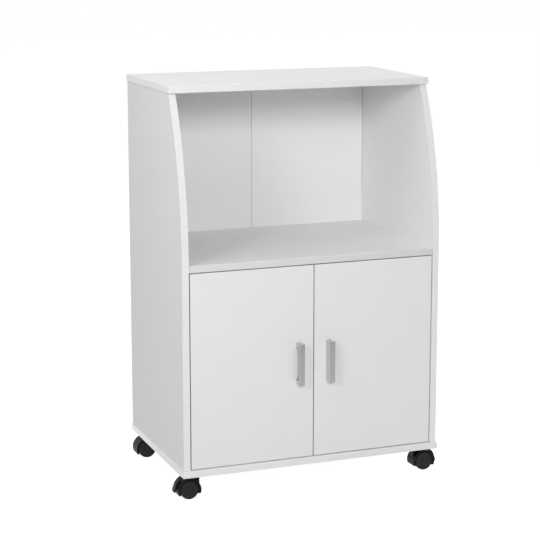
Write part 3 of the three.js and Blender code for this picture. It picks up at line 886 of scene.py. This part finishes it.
class CART_OT_hinges(bpy.types.Operator):
    """Concealed hinges with the screws of their plates"""

    bl_idname = "cart.hinges"
    bl_label = "Hinges"

    def execute(self, context):
        sizes = context.scene.cart_sizes
        for side in SIDES:
            for level in LEVELS:
                stem = f"{side}_{level}_hinge"
                for part in ("cup", "arm", "plate"):
                    add_softened(context, f"{stem}_{part}", "pressed", sizes.metal_edge)
                inward = -1 if side == "right" else 1
                self.add_plate_screws(context, stem, inward, sizes.screw_radius)
        return {"FINISHED"}

    def add_plate_screws(self, context, stem, inward, radius):
        """Screws above and below the arm hold the plate, and two on the arm set it."""
        name = f"{stem}_plate"
        low, high = box_of(name)
        arm_low, arm_high = box_of(f"{stem}_arm")
        face = high[0] if inward > 0 else low[0]
        arm_face = arm_low[0] + ARM_SHEET if inward > 0 else arm_high[0] - ARM_SHEET
        y, z = middle_of(name)[1:]
        axis = (inward, 0, 0)
        parts = [
            screw((face, y, z + s * PLATE_SCREW_OFFSET), axis, radius, PLATE_SCREW_RISE,
                  turn=s * PLATE_SCREW_TURN)
            for s in (-1, 1)]
        parts += [
            screw((arm_face, high[1] - back, z), axis, ARM_SCREW_RADIUS, ARM_SCREW_RISE)
            for back in ARM_SCREW_BACKS]
        piece_from_parts(f"{stem}_screws", parts, finish(context, "screw_steel"), name)


class CART_OT_shelf_pins(bpy.types.Operator):
    """Pins under the inner shelf"""

    bl_idname = "cart.shelf_pins"
    bl_label = "Shelf pins"

    def execute(self, context):
        edge = context.scene.cart_sizes.metal_edge
        for side in SIDES:
            for place in ("front", "back"):
                add_softened(context, f"shelf_pin_{side}_{place}", "plated", edge)
        return {"FINISHED"}


POLE_PROUD = 0.6 * MM       # poles in front of the catch's case
POLE_HALF = np.array([7 * MM, POLE_PROUD, 0.8 * MM])    # half the size of a pole
POLE_SIDE = 11 * MM         # poles from the catch's middle, sideways
POLE_LEVEL = 2.6 * MM       # and up or down
POLE_EDGE = 0.2 * MM
CASE_EDGE = 0.6 * MM        # rounding of the case's long edges
CASE_CORNER = 1.2 * MM      # and of its corners


class CART_OT_catch(bpy.types.Operator):
    """Magnetic catch with its poles, and the strike plates"""

    bl_idname = "cart.catch"
    bl_label = "Magnetic catch"

    def execute(self, context):
        name = "magnet_catch"
        low, high = box_of(name)
        low[1] += POLE_PROUD
        add_board(context, name, "case", CASE_EDGE, low, high, CASE_CORNER)
        z = (low[2] + high[2]) / 2
        poles = []
        for side in (-1, 1):
            for level in (-1, 1):
                centre = np.array([side * POLE_SIDE, low[1], z + level * POLE_LEVEL])
                poles.append(board(centre - POLE_HALF, centre + POLE_HALF, POLE_EDGE))
        piece_from_parts(
            "catch_poles", poles, finish(context, "screw_steel"), name)
        edge = context.scene.cart_sizes.metal_edge
        for side in SIDES:
            add_softened(context, f"{side}_strike_plate", "pressed", edge)
        return {"FINISHED"}


CASTOR_PLATE_SHEET = 2.0 * MM      # thickness of a mounting plate
CASTOR_SCREW_INSET = 5.2 * MM      # screws from the plate's edges
CASTOR_SCREW_RADIUS = 2.9 * MM
CASTOR_SCREW_RISE = 0.9 * MM
CASTOR_SCREW_TURN = 40             # turn of a cross, radians for each metre sideways

# Turned profile of a wheel, in millimetres
WHEEL_CORE = 0.3           # radius where the bore's floor and the outer face are closed
WHEEL_BORE = 3.3           # radius
WHEEL_BORE_DEPTH = 8.2
WHEEL_BORE_CUT = (0.4, 0.3)     # chamfer of the bore: outwards, and deep
WHEEL_AROUND = 96
WHEEL_EDGE = 1.7           # radius of the tread's edges
WHEEL_CROWN = 0.25         # the tread's fall from its middle to its edges
WHEEL_SHOULDER = 1.2       # last point of the inner face, short of the edge's rounding
WHEEL_BEAD = ((2.6, 0), (2.9, 0.1), (3.3, 0.42), (3.8, 0.5))    # in from the tread, and deep
WHEEL_DISH = 0.5           # depth of the dish in the outer face
WHEEL_BOSS = 5.4           # hub boss, up to its rounding
WHEEL_BOSS_EDGE = 0.3
WHEEL_HUB = ((3.0, 0.15), (WHEEL_CORE, 0.13))                   # radius, and deep


class CART_OT_castors(bpy.types.Operator):
    """Castors: plates, screws, hoods, axles, wheels and brake levers"""

    bl_idname = "cart.castors"
    bl_label = "Castors"

    def execute(self, context):
        sizes = context.scene.cart_sizes
        for place in CASTORS:
            stem = f"{place}_castor"
            for part, width in (("plate", sizes.metal_edge), ("hood", sizes.plastic_edge)):
                add_softened(context, f"{stem}_{part}", "finished", width)
            axle = f"{stem}_axle"
            frame["nodes"][axle].data.materials.clear()
            frame["nodes"][axle].data.materials.append(finish(context, SLOT_OF[axle]))
            for side, outward in (("front", -1), ("rear", 1)):
                self.add_wheel(context, f"{stem}_wheel_{side}", outward)
            self.add_plate_screws(context, f"{stem}_plate")
            brake = f"{stem}_brake"
            if brake in frame["nodes"]:
                add_softened(context, brake, "lever", sizes.plastic_edge, 3, crease=38.0)
        return {"FINISHED"}

    def add_wheel(self, context, name, outward):
        """Wheel turned about its axle.

        The profile goes from the bore out over the inner face, round the tread, whose crown is a
        shallow arc, and in over the outer face with a rim bead, a dish and a small hub boss.
        """
        low, high = box_of(name)
        centre = (low + high) / 2
        centre[1] = low[1] if outward > 0 else high[1]
        r, w = (high[2] - low[2]) / 2 / MM, (high[1] - low[1]) / MM
        round_r = r - WHEEL_EDGE - WHEEL_CROWN
        share = np.linspace(0, 1, 9)
        tread = np.stack([
            r - WHEEL_CROWN * (2 * share - 1) ** 2, WHEEL_EDGE + share * (w - 2 * WHEEL_EDGE)], -1)
        profile = np.concatenate([
            [(WHEEL_CORE, WHEEL_BORE_DEPTH), (WHEEL_BORE, WHEEL_BORE_DEPTH),
             (WHEEL_BORE, WHEEL_BORE_CUT[1]), (WHEEL_BORE + WHEEL_BORE_CUT[0], 0.0),
             (r - WHEEL_EDGE - WHEEL_SHOULDER, 0.0)],
            arc_profile(round_r, WHEEL_EDGE, WHEEL_EDGE, -90, -8, 5), tread,
            arc_profile(round_r, w - WHEEL_EDGE, WHEEL_EDGE, 8, 90, 5),
            [(r - back, w - deep) for back, deep in WHEEL_BEAD],
            arc_profile(WHEEL_BOSS, w - WHEEL_DISH, WHEEL_BOSS_EDGE, 0, 90, 2),
            [(radius, w - deep) for radius, deep in WHEEL_HUB]])
        part = turned(profile * MM, centre, (0, outward, 0), WHEEL_AROUND)
        piece_from_parts(f"{name}_turned", [part], finish(context, SLOT_OF[name]), name,
                         stands=True, angle=30.0)

    def add_plate_screws(self, context, plate):
        """Four screws through the corners of the mounting plate, heads down."""
        low, high = box_of(plate)
        under = high[2] - CASTOR_PLATE_SHEET
        parts = []
        for x in (low[0] + CASTOR_SCREW_INSET, high[0] - CASTOR_SCREW_INSET):
            for y in (low[1] + CASTOR_SCREW_INSET, high[1] - CASTOR_SCREW_INSET):
                parts.append(screw(
                    (x, y, under), (0, 0, -1), CASTOR_SCREW_RADIUS, CASTOR_SCREW_RISE,
                    turn=CASTOR_SCREW_TURN * x))
        piece_from_parts(f"{plate}_screws", parts, finish(context, "screw_steel"), plate)


# ---- stage

WHITE = (1, 1, 1, 1)
FLOOR_HALF = 14.0                        # half the floor's side
FLOOR_GREY = (0.7, 0.7, 0.7, 1)          # floor as the light sees it
FLOOR_SHADE = (0.35, 0.35, 0.35, 1)      # floor as the camera sees it, besides its glow

LAMP_TARGET = (0.0, 0.0, 0.45)

# Name, degrees to the right of the front, degrees up, distance, size, power, and whether
# glossy surfaces mirror the lamp, as they do with the key lamp alone.
LAMPS = (
    ("front_lamp", -15, 22, 3.6, 0.7, 52.0, False),
    ("left_lamp", -42, 14, 3.6, 1.2, 3.0, False),
    ("key_lamp", -49, 23, 3.2, 0.5, 14.8, True),
    ("side_lamp", -80, 45, 2.0, 1.2, 8.4, False),
    ("over_lamp", -10, 80, 3.0, 2.4, 13.0, False),
    ("rear_lamp", 125, 32, 3.3, 2.2, 63.0, False),
)


class CART_OT_stage(bpy.types.Operator):
    """Camera, lamps, sky and floor"""

    bl_idname = "cart.stage"
    bl_label = "Stage"

    def execute(self, context):
        stage = context.scene.cart_stage
        context.scene.view_settings.view_transform = "Standard"
        self.add_camera(context, stage)
        for lamp in LAMPS:
            self.add_lamp(context, stage, *lamp)
        self.add_sky(context, stage)
        self.add_floor(context, stage)
        return {"FINISHED"}

    def add_camera(self, context, stage):
        """Camera at the photo's angle, with a small shift of the lens."""
        camera = bpy.data.cameras.new("camera")
        camera.sensor_width = 36.0
        camera.lens = stage.camera_lens
        camera.shift_y = stage.camera_shift
        look = sight(stage.camera_yaw, stage.camera_dip)
        context.scene.camera = pointed(context, "camera", camera, stage.camera_place, look)

    def add_lamp(self, context, stage, name, turn, rise, away, size, power, mirrored):
        """Square lamp at `turn` degrees to the right of the front and `rise` degrees up."""
        lamp = bpy.data.lights.new(name, "AREA")
        lamp.shape = "SQUARE"
        lamp.size = size
        lamp.energy = power * stage.light_level
        look = sight(-math.radians(turn), math.radians(rise))
        holder = pointed(context, name, lamp, Vector(LAMP_TARGET) - away * look, look)
        holder.visible_glossy = mirrored

    def add_sky(self, context, stage):
        """Even sky light; rays of the camera, reflections and glass see plain white."""
        world = bpy.data.worlds.new("studio")
        context.scene.world = world
        tree = empty_tree(world)
        level = node(tree, "ShaderNodeBackground", {"Color": WHITE, "Strength": stage.sky_level})
        white = node(tree, "ShaderNodeBackground", {"Color": WHITE, "Strength": 1.0})
        show(tree, "ShaderNodeOutputWorld", level, white)

    def add_floor(self, context, stage):
        """Flat floor. What the camera sees glows to white and keeps the cart's soft shadow."""
        mesh = bpy.data.meshes.new("floor")
        corners = [(x * FLOOR_HALF, y * FLOOR_HALF, 0)
                   for x, y in ((-1, -1), (1, -1), (1, 1), (-1, 1))]
        mesh.from_pydata(corners, [], [(0, 1, 2, 3)])
        floor = bpy.data.objects.new("floor", mesh)
        context.scene.collection.objects.link(floor)
        material = bpy.data.materials.new("pale floor")
        tree = empty_tree(material)
        plain = node(tree, "ShaderNodeBsdfDiffuse", {"Color": FLOOR_GREY})
        shade = node(tree, "ShaderNodeBsdfDiffuse", {"Color": FLOOR_SHADE})
        glow = node(tree, "ShaderNodeEmission", {"Color": WHITE, "Strength": stage.floor_glow})
        both = node(tree, "ShaderNodeAddShader", {0: shade.outputs[0], 1: glow.outputs[0]})
        show(tree, "ShaderNodeOutputMaterial", plain, both)
        mesh.materials.append(material)


def empty_tree(owner):
    """Empty node tree of a world or a material."""
    owner.use_nodes = True
    owner.node_tree.nodes.clear()
    return owner.node_tree


def show(tree, output, lit, seen):
    """Hands the shader `lit` to the light's own rays and `seen` to the rays that are looked at.

    Those come from the camera, a reflection or glass.
    """
    path = node(tree, "ShaderNodeLightPath")
    direct = maths(tree, "MAXIMUM", path.outputs["Is Camera Ray"], path.outputs["Is Glossy Ray"])
    looked_at = maths(tree, "MAXIMUM", direct, path.outputs["Is Transmission Ray"])
    mixed = node(tree, "ShaderNodeMixShader",
                 {0: looked_at, 1: lit.outputs[0], 2: seen.outputs[0]})
    node(tree, output, {"Surface": mixed.outputs[0]})


def sight(yaw, dip):
    """Direction that turns right from straight on by `yaw` and down by `dip`, in radians."""
    level = math.cos(dip)
    return Vector((math.sin(yaw) * level, math.cos(yaw) * level, -math.sin(dip)))


def pointed(context, name, data, place, look):
    """Camera or lamp at `place` that looks along `look`."""
    thing = bpy.data.objects.new(name, data)
    context.scene.collection.objects.link(thing)
    thing.location = place
    thing.rotation_mode = "QUATERNION"
    thing.rotation_quaternion = look.to_track_quat("-Z", "Y")
    return thing


# ---- add-on

class CART_PT_panel(bpy.types.Panel):
    """The cart's sizes, finishes and pieces in the sidebar"""

    bl_label = "Microwave cart"
    bl_idname = "CART_PT_panel"
    bl_space_type = "VIEW_3D"
    bl_region_type = "UI"
    bl_category = "Cart"

    def draw(self, context):
        """Lists every setting, and a button for each operator."""
        for group in ("cart_sizes", "cart_finish", "cart_stage"):
            settings = getattr(context.scene, group)
            column = self.layout.column()
            for key in settings.__annotations__:
                column.prop(settings, key)
        for operator in OPERATORS:
            self.layout.operator(operator.bl_idname)


OPERATORS = (
    CART_OT_stage, CART_OT_boards, CART_OT_back, CART_OT_doors, CART_OT_handles,
    CART_OT_hinges, CART_OT_shelf_pins, CART_OT_catch, CART_OT_castors,
)
CLASSES = (CartSizes, CartFinish, CartStage, *OPERATORS, CART_PT_panel)


def register():
    """Registers the classes and gives the scene the cart's settings."""
    for entry in CLASSES:
        bpy.utils.register_class(entry)
    bpy.types.Scene.cart_sizes = bpy.props.PointerProperty(type=CartSizes)
    bpy.types.Scene.cart_finish = bpy.props.PointerProperty(type=CartFinish)
    bpy.types.Scene.cart_stage = bpy.props.PointerProperty(type=CartStage)


def unregister():
    """Takes away what register gives."""
    del bpy.types.Scene.cart_sizes, bpy.types.Scene.cart_finish, bpy.types.Scene.cart_stage
    for entry in reversed(CLASSES):
        bpy.utils.unregister_class(entry)


def main():
    """Builds every piece and the stage."""
    register()
    for operator in OPERATORS:
        family, name = operator.bl_idname.split(".")
        getattr(getattr(bpy.ops, family), name)()


if __name__ == "__main__":
    main()
